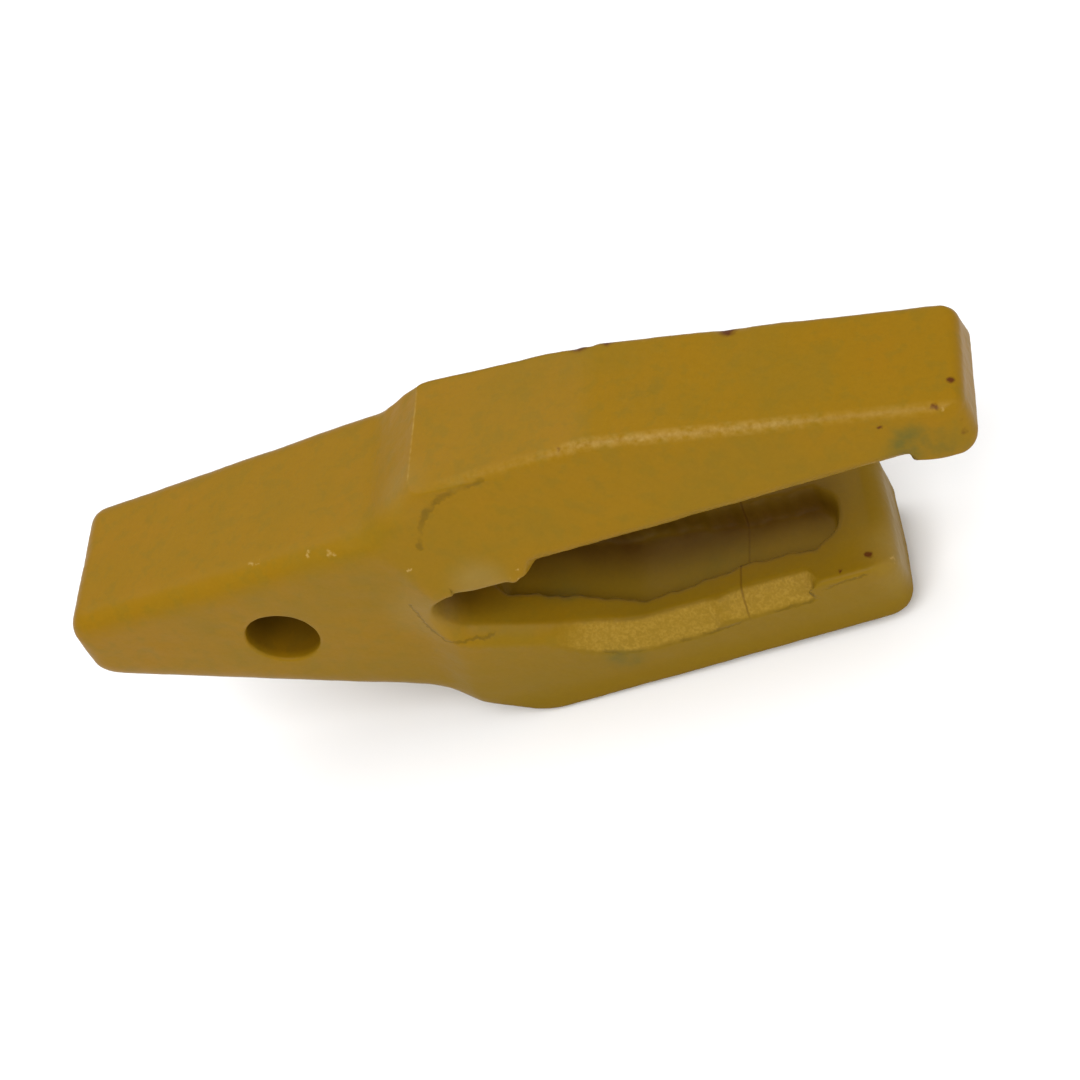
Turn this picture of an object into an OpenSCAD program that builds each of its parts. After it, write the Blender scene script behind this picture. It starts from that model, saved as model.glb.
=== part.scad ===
// Two-strap weld-on tooth adapter for a small excavator bucket, millimetres.
// The real object is one steel casting. It is drawn as four solids that meet
// face to face: nose, shoulder, upper strap, lower strap.
// Origin: centre of the pin bore. +X runs from the nose to the straps, along
// the lip plate. +Y runs along the pin bore. +Z is normal to the lip plate.

/* [Pin bore] */
// Diameter of the cross bore that takes the tooth pin
bore_d = 20; // [12:0.5:24]

/* [Nose] */
// Distance from the bore axis to the front of the nose, along the nose
nose_reach = 57.5; // [48:0.5:64]
// Width of the nose at its front
nose_tip_w = 44; // [36:1:46]
// Width of the nose where it meets the shoulder
nose_root_w = 47.6; // [46.5:0.1:50]
// Height of the blunt front of the nose
nose_tip_h = 24.4; // [18:0.2:30]
// Slope of the top and of the underside, each from the middle of the nose
nose_taper_deg = 13.8; // [11:0.1:15]
// Tilt of the nose, front end up, from the lip plate
nose_tilt_deg = 9.6; // [7:0.1:11]
// Height of the middle of the nose above the bore axis
nose_offset = 2; // [0:0.1:3]
// Plan radius of the two front corners of the nose
nose_corner_r = 5; // [3:1:12]
// Chamfer along the four long edges of the nose
nose_edge = 3.5; // [1:0.5:6]

/* [Shoulder and body] */
// Distance from the bore axis to the end of the nose section, along the nose
shoulder_reach = 37; // [35:1:39]
// Distance from the bore axis to the full height of the body top
body_top_x = 56.5; // [52:0.5:60]
// Distance from the bore axis to the full depth of the body underside
body_bottom_x = 53; // [46:1:56]
// Length of the blend from the nose out to the full width of the body
flare_run = 8; // [5:1:12]
// Width of the body across its widest line, at the shoulder
body_w = 55.6; // [53:0.1:64]
// Height of the body top above the bore axis
body_top = 38.7; // [36:0.1:44]
// Depth of the body underside below the bore axis
body_bottom = 55.5; // [51:0.5:60]
// Inward taper of both sides in plan
side_taper_deg = 3; // [1:0.1:4]
// Inward draft of both sides above the widest line
upper_draft_deg = 14; // [8:0.5:18]
// Inward draft of both sides below the widest line
lower_draft_deg = 1.8; // [0:0.1:5]

/* [Upper strap] */
// Distance from the bore axis to the end of the upper strap
upper_reach = 195; // [175:1:210]
// Distance from the bore axis to the crest where the top starts to fall
crest_x = 105; // [95:1:115]
// Thickness of the upper strap at its end
upper_end_t = 14.5; // [10:0.5:20]

/* [Lower strap] */
// Distance from the bore axis to the end of the lower strap
lower_reach = 162; // [156:0.5:175]
// Thickness of the lower strap at its end
lower_end_t = 22.5; // [18:0.5:26]
// Radius of the rounded lower end edge
lower_end_r = 8; // [3:1:10]

/* [Lip slot] */
// Thickness of the lip plate that the straps straddle
lip_t = 32; // [26:1:34]
// Total gap left between the lip plate and the two straps
lip_gap = 2; // [1:0.5:4]
// Height of the upper slot face above the bore axis
slot_top = 4.7; // [2:0.1:7]
// Distance from the bore axis to the bottom of the throat
throat_x = 45; // [43:1:50]
// Radius of the throat
throat_r = 8.5; // [6:0.5:11]
// Slope of the slot floor behind the throat, for a bevelled lip edge
ramp_deg = 24; // [20:1:30]

/* [Weld bevels] */
// Leg of the 45 degree bevels along the inner edges of both straps
bevel = 6; // [3:0.5:7]
// Start of all four bevels, from the bore axis
bevel_x = 77; // [76:1:85]
// Length of the bevels on the upper strap
upper_bevel_len = 101; // [70:1:104]
// Length of the bevels on the lower strap
lower_bevel_len = 62; // [40:1:70]

/* [Relief pocket] */
// Width of the relief pocket in the inner face of the lower strap
pocket_w = 22; // [21:1:30]
// Depth of the relief pocket
pocket_d = 6.5; // [2:0.5:7]
// Distance from the bore axis to the end of the pocket
pocket_x = 148; // [130:1:150]
// Corner radius of the pocket end
pocket_r = 10; // [6:1:10]

/* [Hidden] */
$fn = 72;

far = 400;
slot_h = lip_t + lip_gap;
slot_bottom = slot_top - slot_h;
split_x = 75;
step_u = shoulder_reach + 2;

// Nose outline in its own frame, tilted about the bore axis: heights and half
// width at a distance u along the nose
nose_flare = (nose_root_w - nose_tip_w) / 2 / (shoulder_reach + nose_reach);
function nose_half(u) = nose_tip_w / 2 + (u + nose_reach) * nose_flare;
function nose_rise(u) = nose_tip_h / 2 + (u + nose_reach) * tan(nose_taper_deg);
function nose_top(u) = nose_offset + nose_rise(u);
function nose_bottom(u) = nose_offset - nose_rise(u);

// A point of the nose frame, as X and Z of the row frame
function tilted(u, v) = [
    u * cos(nose_tilt_deg) + v * sin(nose_tilt_deg),
    v * cos(nose_tilt_deg) - u * sin(nose_tilt_deg)
];

// Half width of the body at a given x, on its widest line
function body_half(x) = body_w / 2 - (x - body_top_x) * tan(side_taper_deg);

// Slot: throat circle, tangent to the upper face and to the ramp
throat_c = [throat_x + throat_r, slot_top - throat_r];
ramp_start = throat_c - throat_r * [sin(ramp_deg), cos(ramp_deg)];
ramp_end_x = ramp_start[0] + (ramp_start[1] - slot_bottom) / tan(ramp_deg);

steel = [0.62, 0.48, 0.14];

// Plate cut from an X-Z outline and spread equally to both sides of Y = 0
module side_plate(outline, width) {
    rotate([90, 0, 0])
        linear_extrude(height = width, center = true)
            polygon(outline);
}

// Everything on the inner side of one drafted body side; up = 1 above the
// widest line, up = -1 below it
module side_limit(draft, up) {
    turn = atan(tan(draft) * cos(side_taper_deg));
    translate([body_top_x, body_w / 2, slot_top])
        rotate([up * turn, 0, -side_taper_deg])
            translate([-far, -far, -far])
                cube([2 * far, far, 2 * far]);
}

// Wedge between the four drafted sides
module body_limits() {
    intersection() {
        side_limit(upper_draft_deg, 1);
        mirror([0, 1, 0]) side_limit(upper_draft_deg, 1);
        side_limit(lower_draft_deg, -1);
        mirror([0, 1, 0]) side_limit(lower_draft_deg, -1);
    }
}

// Space taken by the lip plate, open toward +X
module lip_slot() {
    side_plate([
        [throat_c[0], slot_top],
        [far, slot_top],
        [far, slot_bottom],
        [ramp_end_x, slot_bottom],
        ramp_start,
        throat_c
    ], far);
    translate([throat_c[0], 0, throat_c[1]])
        rotate([90, 0, 0])
            cylinder(r = throat_r, h = far, center = true);
}

// Relief pocket below the slot floor and its ramp
module pocket() {
    drop = pocket_d / cos(ramp_deg);
    start = ramp_start + [2, -2 * tan(ramp_deg)];
    corner_x = ramp_end_x + (drop - pocket_d) / tan(ramp_deg);
    intersection() {
        side_plate([
            start,
            start + [0, -drop],
            [corner_x, slot_bottom - pocket_d],
            [pocket_x, slot_bottom - pocket_d],
            [pocket_x, slot_bottom + 1],
            [ramp_end_x, slot_bottom + 1],
            start + [0, 1]
        ], pocket_w);
        linear_extrude(height = 2 * far, center = true) {
            translate([0, -pocket_w / 2])
                square([pocket_x - pocket_r, pocket_w]);
            translate([0, -pocket_w / 2 + pocket_r])
                square([pocket_x, pocket_w - 2 * pocket_r]);
            for (side = [-1, 1])
                translate([pocket_x - pocket_r, side * (pocket_w / 2 - pocket_r)])
                    circle(r = pocket_r);
        }
    }
}

// Cutter for one straight weld bevel, along the tapered side
module bevel_cut(z, length) {
    leg = bevel * sqrt(2);
    half = body_half(bevel_x) - abs(z - slot_top) * tan(lower_draft_deg);
    for (side = [0, 1])
        mirror([0, side, 0])
            translate([bevel_x, half, z])
                rotate([0, 0, -side_taper_deg])
                    rotate([45, 0, 0])
                        translate([0, -leg / 2, -leg / 2])
                            cube([length, leg, leg]);
}

// Cutter that breaks the two top edges of the nose, in the nose frame; the
// bottom edges use its mirror image
module nose_edge_cut() {
    leg = nose_edge * sqrt(2);
    for (side = [0, 1])
        mirror([0, side, 0])
            translate([-nose_reach, nose_half(-nose_reach), nose_rise(-nose_reach)])
                rotate([0, -nose_taper_deg, atan(nose_flare)])
                    rotate([45, 0, 0])
                        translate([-far, -leg / 2, -leg / 2])
                            cube([2 * far, leg, leg]);
}

// Plan of the nose, in the nose frame
module nose_plan() {
    tip_u = nose_corner_r - nose_reach;
    polygon([
        [tip_u, -nose_half(tip_u)],
        [far, -nose_half(far)],
        [far, nose_half(far)],
        [tip_u, nose_half(tip_u)]
    ]);
    translate([-nose_reach, nose_corner_r - nose_tip_w / 2])
        square([nose_reach, nose_tip_w - 2 * nose_corner_r]);
    for (side = [-1, 1])
        translate([tip_u, side * (nose_half(tip_u) - nose_corner_r)])
            circle(r = nose_corner_r);
}

// Plan of the flare from the nose out to the body, in the nose frame
module flare_plan() {
    wide = body_half(0);
    polygon([
        [0, -nose_half(0)],
        [step_u, -nose_half(step_u)],
        [step_u + flare_run, -wide],
        [far, -wide],
        [far, wide],
        [step_u + flare_run, wide],
        [step_u, nose_half(step_u)],
        [0, nose_half(0)]
    ]);
}

module nose() {
    front = -nose_reach - 5;
    color(steel)
    difference() {
        rotate([0, nose_tilt_deg, 0])
            translate([0, 0, nose_offset])
                difference() {
                    intersection() {
                        side_plate([
                            [front, nose_rise(front)],
                            [shoulder_reach, nose_rise(shoulder_reach)],
                            [shoulder_reach, -nose_rise(shoulder_reach)],
                            [front, -nose_rise(front)]
                        ], far);
                        linear_extrude(height = far, center = true) nose_plan();
                    }
                    nose_edge_cut();
                    mirror([0, 0, 1]) nose_edge_cut();
                }
        rotate([90, 0, 0])
            cylinder(d = bore_d, h = far, center = true);
    }
}

module shoulder() {
    color(steel)
    difference() {
        intersection() {
            side_plate([
                tilted(shoulder_reach, nose_bottom(shoulder_reach)),
                tilted(shoulder_reach, nose_top(shoulder_reach)),
                tilted(step_u, nose_top(step_u)),
                [body_top_x, body_top],
                [split_x, body_top],
                [split_x, -body_bottom],
                [body_bottom_x, -body_bottom]
            ], far);
            rotate([0, nose_tilt_deg, 0])
                linear_extrude(height = far, center = true) flare_plan();
            body_limits();
        }
        lip_slot();
        pocket();
    }
}

module upper_strap() {
    color(steel)
    difference() {
        intersection() {
            side_plate([
                [split_x, slot_top],
                [split_x, body_top],
                [crest_x, body_top],
                [upper_reach, slot_top + upper_end_t],
                [upper_reach, slot_top]
            ], far);
            body_limits();
        }
        bevel_cut(slot_top, upper_bevel_len);
    }
}

module lower_strap() {
    end_z = slot_bottom - lower_end_t;
    color(steel)
    difference() {
        intersection() {
            union() {
                side_plate([
                    [split_x, slot_top],
                    [lower_reach, slot_top],
                    [lower_reach, end_z + lower_end_r],
                    [lower_reach - lower_end_r, end_z],
                    [split_x, -body_bottom]
                ], far);
                translate([lower_reach - lower_end_r, 0, end_z + lower_end_r])
                    rotate([90, 0, 0])
                        cylinder(r = lower_end_r, h = far, center = true);
            }
            body_limits();
        }
        lip_slot();
        pocket();
        bevel_cut(slot_bottom, lower_bevel_len);
    }
}

nose();
shoulder();
upper_strap();
lower_strap();
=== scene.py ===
"""Two-strap weld-on bucket tooth adapter: the painted steel casting, its studio and camera.

The casting is one continuous surface. Its side outline is a closed loop of
straight runs and corner arcs in the X-Z plane; a cross profile is carried along
that loop (the rim and the broken edges), and two side faces, pierced by the pin
bore, close it. Lengths inside the classes are millimetres; meshes are metres.
"""

import logging
import math
from collections.abc import Iterable
from dataclasses import dataclass
from enum import Enum
from functools import reduce

import bpy
import numpy as np
from mathutils import Matrix, Vector
from mathutils.geometry import delaunay_2d_cdt


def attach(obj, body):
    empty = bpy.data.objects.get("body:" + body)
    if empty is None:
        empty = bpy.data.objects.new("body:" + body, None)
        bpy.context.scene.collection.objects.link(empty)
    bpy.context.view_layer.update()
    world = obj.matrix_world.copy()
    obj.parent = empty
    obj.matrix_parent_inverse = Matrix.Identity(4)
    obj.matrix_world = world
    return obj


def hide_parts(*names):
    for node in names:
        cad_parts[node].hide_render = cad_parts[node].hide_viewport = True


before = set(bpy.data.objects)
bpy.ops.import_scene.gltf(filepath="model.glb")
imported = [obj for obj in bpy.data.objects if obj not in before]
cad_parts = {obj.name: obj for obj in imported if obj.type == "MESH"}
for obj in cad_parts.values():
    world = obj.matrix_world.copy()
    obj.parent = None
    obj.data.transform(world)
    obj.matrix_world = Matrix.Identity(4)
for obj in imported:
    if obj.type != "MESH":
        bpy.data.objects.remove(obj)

LOG = logging.getLogger("adapter")
MM = 0.001
ROW = 0.866  # height of an equal triangle whose side is 1
SLIVER = 1e-5  # twice the area under which a triangle is flat, square mm
FRAY_SCALE = 700.0  # of the noise that frays spots and lines, per metre
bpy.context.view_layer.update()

# Parts of the side outline: corner n is part 2n, and the run after it 2n + 1.
NOSE_TOP = (1, 2, 3)
BROW = 4
SHOULDER = (1, 2, 3, 4, 5)
UPPER_TOP = (4, 5, 6, 7, 8, 9)
UPPER_INNER = 11
SLOT = (11, 12, 13, 14, 15)
SLOT_FLOOR = (13, 14, 15)
LOWER_INNER = 15

Colour = tuple[float, float, float, float]
Place = tuple[float, float, float]


def rise(value: np.ndarray, low: float, high: float) -> np.ndarray:
    """Smooth step from 0 at low to 1 at high: 3t squared minus 2t cubed.

    Args:
        value: Numbers to map.
        low: Value at which the step leaves 0.
        high: Value at which the step reaches 1.

    Returns:
        The step, the same shape as value.
    """
    t = np.clip((np.asarray(value, float) - low) / (high - low), 0.0, 1.0)
    return t * t * (3.0 - 2.0 * t)


def ramp(value: np.ndarray, width: float) -> np.ndarray:
    """Rounded ramp: half of t plus the root of t squared plus width squared."""
    return 0.5 * (value + np.sqrt(value * value + width * width))


def lesser(a: np.ndarray, b: np.ndarray | float, width: float) -> np.ndarray:
    """The lesser of two surfaces, with the crease between them rounded.

    Args:
        a: First surface.
        b: Second surface.
        width: Width of the rounding at the crease.

    Returns:
        Half the sum of both minus half the rounded size of their difference.
    """
    return 0.5 * (a + b - np.sqrt((a - b) ** 2 + width * width))


class EdgeForm(Enum):
    """How an edge is broken; the value is the fullness of its cross profile."""

    ROUND = 1.0
    DISHED = 0.3
    SOFT_BEVEL = 0.16


class Side(Enum):
    """A side of the casting; the value is the sign of its Y."""

    NEAR = -1.0
    FAR = 1.0


@dataclass(frozen=True)
class Corner:
    """A corner of the side outline.

    Attributes:
        x: Sharp corner, along the lip plate.
        z: Sharp corner, normal to the lip plate.
        radius: Radius of the arc that rounds it on the rim.
        inner: Radius of the same corner where the side face begins.
        samples: Intervals along the arc.
    """

    x: float
    z: float
    radius: float
    inner: float
    samples: int = 10


@dataclass(frozen=True)
class Run:
    """A straight run of the side outline, from its corner to the next.

    Attributes:
        leg: How far the broken edge reaches into the side face.
        inset: How far it reaches across the rim.
        form: How the edge is broken.
    """

    leg: float
    inset: float
    form: EdgeForm = EdgeForm.ROUND


@dataclass(frozen=True)
class Stretch:
    """Part of the outline whose edge is broken in another way.

    Attributes:
        parts: Parts of the outline it lies on.
        start: Lowest X of the stretch.
        end: Highest X of the stretch.
        leg: Reach into the side face.
        inset: Reach across the rim.
        fade_in: Length over which it begins.
        fade_out: Length over which it ends.
        form: How the edge is broken.
        grain: Roughness of the strip, 0 to 1.
    """

    parts: tuple[int, ...]
    start: float
    end: float
    leg: float
    inset: float
    fade_in: float
    fade_out: float
    form: EdgeForm
    grain: float


@dataclass(frozen=True)
class Pit:
    """A dent in the cast surface: a bell of the given depth, proud if negative."""

    x: float
    y: float
    z: float
    radius: float
    depth: float


class Loop:
    """A closed loop of straight runs joined by arcs, walked clockwise."""

    def __init__(
        self, points: np.ndarray, radii: np.ndarray, arcs: list[int], runs: list[int]
    ) -> None:
        """Samples the loop.

        Every corner becomes an arc between its two tangent points, and every
        run a straight line between arcs, shared out evenly.

        Args:
            points: Sharp corners, one row each.
            radii: Arc radius at each corner.
            arcs: Intervals along each arc.
            runs: Intervals along each run.
        """
        n = len(points)
        ahead = np.roll(points, -1, 0) - points
        ahead /= np.linalg.norm(ahead, axis=1)[:, None]
        back = np.roll(ahead, 1, 0)
        turn = np.arctan2(
            back[:, 0] * ahead[:, 1] - back[:, 1] * ahead[:, 0], (back * ahead).sum(1)
        )
        tangent = radii * np.tan(np.abs(turn) / 2.0)
        first, last = points - back * tangent[:, None], points + ahead * tangent[:, None]
        rows, normals, numbers, fractions = [], [], [], []
        for i in range(n):
            angle = turn[i] * np.linspace(0.0, 1.0, arcs[i] + 1)
            side = math.copysign(1.0, turn[i])
            left = side * np.array([-back[i, 1], back[i, 0]])
            centre = first[i] + radii[i] * left
            c, s = np.cos(angle), np.sin(angle)
            spoke = -radii[i] * left
            turned = np.stack([c, s, -s, c], 1).reshape(-1, 2, 2)
            rows.append(centre + spoke @ turned)
            heading = back[i] @ turned
            normals.append(np.stack([heading[:, 1], -heading[:, 0]], 1))
            numbers.append(np.full(len(angle), 2 * i))
            fractions.append(np.linspace(0.0, 1.0, len(angle)))
            t = np.linspace(0.0, 1.0, runs[i] + 1)[1:-1]
            after = first[(i + 1) % n]
            rows.append(last[i] + t[:, None] * (after - last[i]))
            normals.append(np.repeat([[ahead[i, 1], -ahead[i, 0]]], len(t), 0))
            numbers.append(np.full(len(t), 2 * i + 1))
            fractions.append(t)
        self.point = np.concatenate(rows)
        self.inward = np.concatenate(normals)
        self.part = np.concatenate(numbers)
        self.fraction = np.concatenate(fractions)


def wave(points: np.ndarray, length: float, seed: int, count: int) -> np.ndarray:
    """Smooth seeded noise: the mean of sines with random directions and phases.

    Args:
        points: Positions, one row each.
        length: Typical length of a wave.
        seed: Seed of the directions and phases.
        count: Number of sines.

    Returns:
        About -1 to 1 at each position.
    """
    rng = np.random.default_rng(seed)
    way = rng.normal(size=(count, 3))
    spread = rng.uniform(0.7, 1.4, (count, 1))
    way *= (2.0 * math.pi / length) * spread / np.linalg.norm(way, axis=1)[:, None]
    phase = rng.uniform(0.0, 2.0 * math.pi, count)
    return np.sin(points @ way.T + phase).sum(1) / math.sqrt(count)


@dataclass
class Casting:
    """The one-piece casting: nose, shoulder and two straps.

    Attributes:
        tilt_deg: Tilt of the nose, nose up against the lip plate.
        nose_reach: From the bore axis to the nose's front, along the nose.
        nose_half_tip: Half width of the nose at its front.
        nose_flare: Growth of that half width along the nose.
        bore_r: Radius of the pin bore.
        bore_lip: Radius of its rounded mouths.
        body_half: Half width of the body at body_x, on its widest line.
        body_x: X at which that half width holds.
        widest_z: Height of the widest line.
        taper_deg: Narrowing of the body toward the strap ends.
        upper_draft_deg: Draft of the sides above the widest line.
        lower_draft_deg: Draft of the sides below it.
        flare_start: Where the sides flare behind the nose, along the nose.
        flare_slope: Growth of the half width on the flare.
        rubbed_inset: Reach of the near shoulder corner's rubbed edge.
        back_from: Y from which the lower strap's end is cut back.
        back_slope: First term of that cut, per mm across.
        back_curve: Its second term, per square mm.
        back_most: Greatest cut back.
        pocket_half: Half width of the relief pocket.
        pocket_round: Radius of its end corners.
        pocket_depth: Its depth.
        pocket_end: X of its end toward the strap's end.
        pocket_start: X of its end in the throat.
        pitch: Spacing of the rim's samples along a run.
        face_step: Spacing of the points inside a side face.
        face_margin: Clear strip between those points and the face's start.
        bore_margin: The same round the bore.
        rim_cells: Intervals straight across the rim.
        edge_cells: Intervals over a broken edge.
    """

    tilt_deg: float = 9.6
    nose_reach: float = 56.0
    nose_half_tip: float = 22.0
    nose_flare: float = 0.01935
    bore_r: float = 10.0
    bore_lip: float = 0.9
    body_half: float = 27.8
    body_x: float = 55.0
    widest_z: float = 4.7
    taper_deg: float = 3.0
    upper_draft_deg: float = 14.0
    lower_draft_deg: float = 1.8
    flare_start: float = 39.5
    flare_slope: float = 0.45
    rubbed_inset: float = 9.5
    back_from: float = -18.0
    back_slope: float = 0.05
    back_curve: float = 0.0022
    back_most: float = 4.0
    pocket_half: float = 10.0
    pocket_round: float = 9.0
    pocket_depth: float = 6.5
    pocket_end: float = 148.0
    pocket_start: float = 53.0
    pitch: float = 1.08
    face_step: float = 1.4
    face_margin: float = 0.9
    bore_margin: float = 1.6
    rim_cells: int = 48
    edge_cells: int = 8
    corners: tuple[Corner, ...] = (
        Corner(-55.3, 23.1, 7.0, 2.5, 12),
        Corner(41.0, 30.2, 14.0, 18.0, 12),
        Corner(56.8, 38.7, 1.7, 14.0, 9),
        Corner(105.0, 38.7, 30.0, 28.0, 8),
        Corner(195.2, 19.1, 3.4, 2.5, 10),
        Corner(195.6, 4.7, 3.6, 6.0, 12),
        Corner(13.48, 4.7, 8.5, 12.2, 30),
        Corner(90.1, -29.3, 20.0, 23.0, 8),
        Corner(162.1, -29.3, 6.0, 4.0, 12),
        Corner(162.1, -52.8, 8.0, 4.5, 12),
        Corner(52.5, -55.7, 13.0, 9.0, 12),
        Corner(31.0, -38.9, 30.0, 36.0, 12),
        Corner(-59.4, -0.95, 7.0, 3.0, 12),
    )
    runs: tuple[Run, ...] = (
        Run(8.0, 7.0),
        Run(9.5, 3.2),
        Run(2.6, 2.6),
        Run(2.6, 2.6),
        Run(6.0, 6.0),
        Run(2.6, 2.4),
        Run(4.2, 4.2, EdgeForm.DISHED),
        Run(1.9, 1.9),
        Run(5.5, 5.5),
        Run(4.2, 3.8),
        Run(6.0, 5.5),
        Run(7.5, 7.5),
        Run(5.6, 5.6),
    )
    stretches: tuple[Stretch, ...] = (
        Stretch((UPPER_INNER,), 50.0, 62.0, 4.4, 3.5, 4.0, 9.0, EdgeForm.ROUND, 0.0),
        Stretch((UPPER_INNER,), 74.0, 189.5, 6.0, 6.0, 4.0, 13.0, EdgeForm.SOFT_BEVEL, 0.5),
        Stretch(SLOT_FLOOR, 70.0, 120.0, 8.6, 5.0, 12.0, 10.0, EdgeForm.SOFT_BEVEL, 1.0),
        Stretch((LOWER_INNER,), 110.0, 142.5, 6.5, 5.9, 9.0, 4.0, EdgeForm.SOFT_BEVEL, 1.0),
    )
    pits: tuple[Pit, ...] = (
        Pit(101.0, 17.2, 38.4, 2.4, 0.55),
        Pit(105.5, 17.2, 37.9, 1.6, 0.6),
        Pit(97.0, 17.6, 38.2, 1.5, 0.3),
        Pit(139.0, 15.6, 31.2, 1.8, 0.4),
        Pit(144.0, 15.4, 30.2, 1.3, 0.3),
        Pit(96.0, -15.8, 38.7, 1.5, 0.4),
        Pit(99.0, -16.9, 38.5, 1.4, 0.45),
        Pit(93.0, -14.6, 38.7, 1.2, 0.25),
        Pit(71.5, -25.6, 5.2, 1.5, -0.9),
        Pit(158.0, -19.8, -31.5, 1.2, 0.5),
        Pit(155.5, -19.5, -32.5, 1.6, 0.3),
    )

    def half_width(self, x: np.ndarray, z: np.ndarray) -> np.ndarray:
        """Half width of the side face over a point of the side view.

        The nose widens evenly to the shoulder, then flares. The body is wedge
        shaped: it narrows toward the strap ends, upward with a strong draft and
        downward with a slight one. The lesser of both surfaces is taken, with
        the crease between them softened.

        Args:
            x: Positions along the lip plate.
            z: Positions normal to it.

        Returns:
            Half widths at those positions.
        """
        along = self.along(x, z)
        nose = self.nose_half(along)
        flare = nose + self.flare_slope * ramp(along - self.flare_start, 3.0)
        blend = rise(along, 26.0, 42.0)
        return nose * (1.0 - blend) + blend * lesser(flare, self.body(x, z), 0.8)

    def along(self, x: np.ndarray, z: np.ndarray) -> np.ndarray:
        """Distance from the bore axis along the tilted nose."""
        tilt = math.radians(self.tilt_deg)
        return x * math.cos(tilt) - z * math.sin(tilt)

    def nose_half(self, along: np.ndarray) -> np.ndarray:
        """Half width of the nose: a straight taper."""
        return self.nose_half_tip + (along + self.nose_reach) * self.nose_flare

    def body(self, x: np.ndarray, z: np.ndarray) -> np.ndarray:
        """Half width of the body: two drafted planes that meet at its widest line.

        Args:
            x: Positions along the lip plate.
            z: Positions normal to it.

        Returns:
            Half widths, falling off with X, and with height above and below
            the widest line.
        """
        over = z - self.widest_z
        return (
            self.body_half
            - (x - self.body_x) * math.tan(math.radians(self.taper_deg))
            - ramp(over, 2.5) * math.tan(math.radians(self.upper_draft_deg))
            - ramp(-over, 2.5) * math.tan(math.radians(self.lower_draft_deg))
        )

    def trim(self, points: np.ndarray) -> np.ndarray:
        """Cuts the shoulder's full corners back to the body's drafted planes.

        Across the shoulder the half width is the lesser of its own and the
        body's, which leaves the curved front end of each side facet.

        Args:
            points: Positions, the last axis X, Y, Z.

        Returns:
            The trimmed positions.
        """
        x, y, z = np.moveaxis(points, -1, 0)
        near = rise(x, 40.0, 46.0) * (1.0 - rise(x, 80.0, 92.0)) * rise(z, 0.0, 10.0)
        cut = np.sign(y) * lesser(np.abs(y), self.body(x, z) + 0.12, 0.35)
        return np.stack([x, np.where(np.abs(y) > 4.0, y * (1.0 - near) + cut * near, y), z], -1)

    def skew(self, points: np.ndarray) -> np.ndarray:
        """Cuts the lower strap's end back toward the far side.

        With s the distance from the near corner, the end moves back by the
        slope times s plus the curve times s squared, up to the greatest.

        Args:
            points: Positions, one row each.

        Returns:
            The moved positions.
        """
        x, y, z = points.T
        s = np.maximum(y - self.back_from, 0.0)
        back = lesser(self.back_slope * s + self.back_curve * s * s, self.back_most, 0.6)
        back = np.maximum(back, 0.0) * rise(x, 148.0, 160.0) * rise(-z, 8.0, 16.0)
        return np.stack([x - back, y, z], 1)

    def loops(self) -> tuple[Loop, Loop]:
        """Samples the rim's outline and the loop where the side faces begin.

        The second loop has every run of the first moved into the material by
        that run's leg, and its own corner radii.

        Returns:
            The outer and the inner loop, with matching samples.
        """
        points = np.array([(c.x, c.z) for c in self.corners])
        ahead = np.roll(points, -1, 0) - points
        length = np.linalg.norm(ahead, axis=1)
        normal = np.stack([ahead[:, 1], -ahead[:, 0]], 1) / length[:, None]
        legs = np.array([r.leg for r in self.runs])
        frames = np.stack([np.roll(normal, 1, 0), normal], 1)
        moves = np.linalg.solve(frames, np.stack([np.roll(legs, 1), legs], 1)[:, :, None])[:, :, 0]
        arcs = [c.samples for c in self.corners]
        counts = [max(4, int(round(d / self.pitch))) for d in length]
        outer = Loop(points, np.array([c.radius for c in self.corners]), arcs, counts)
        inner = Loop(points + moves, np.array([c.inner for c in self.corners]), arcs, counts)
        return outer, inner

    def edges(
        self, outer: Loop, inner: Loop, side: Side
    ) -> tuple[np.ndarray, np.ndarray, np.ndarray, np.ndarray, np.ndarray]:
        """Works out how the edge is broken at each sample of the loops.

        Along a run the inset is that run's own; round a corner it passes evenly
        from one run's to the next's. A stretch replaces both, with a smooth
        start and end.

        Args:
            outer: The rim's outline.
            inner: The loop where the side faces begin.
            side: Side of the casting; the near one's shoulder corner is rubbed
                down further than the far one's, which is sharper.

        Returns:
            The start of the side face, the half width, the inset, the fullness
            and the grain.
        """
        insets = np.array([r.inset for r in self.runs])
        forms = np.array([r.form.value for r in self.runs])
        number = outer.part // 2
        share = np.where(outer.part % 2 == 0, outer.fraction, 1.0)
        inset = insets[number - 1] * (1.0 - share) + insets[number] * share
        fullness = forms[number - 1] * (1.0 - share) + forms[number] * share
        start = inner.point.copy()
        grain = np.zeros(len(number))
        x, z = outer.point.T
        for s in self.stretches:
            begun = rise(x, s.start, s.start + s.fade_in)
            ended = rise(x, s.end - s.fade_out, s.end)
            w = begun * (1.0 - ended) * np.isin(outer.part, s.parts)
            start = start * (1.0 - w[:, None]) + (outer.point + outer.inward * s.leg) * w[:, None]
            inset = inset * (1.0 - w) + s.inset * w
            fullness = fullness * (1.0 - w) + s.form.value * w
            grain = np.maximum(grain, s.grain * w)
        half = self.half_width(x, z)
        if side is Side.NEAR:
            rubbed = rise(x, 24.0, 42.0) * (1.0 - rise(x, 57.0, 68.0))
            rubbed = rubbed * np.isin(outer.part, SHOULDER)
            along = self.along(x, z)
            full = self.nose_half(along) - 0.9 * rise(along, 34.0, 46.0)
            half = half * (1.0 - rubbed) + full * rubbed
            inset = inset * (1.0 - rubbed) + self.rubbed_inset * rubbed
        else:
            slope = np.isin(outer.part, NOSE_TOP) * rise(x, 28.0, 34.0)
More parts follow.
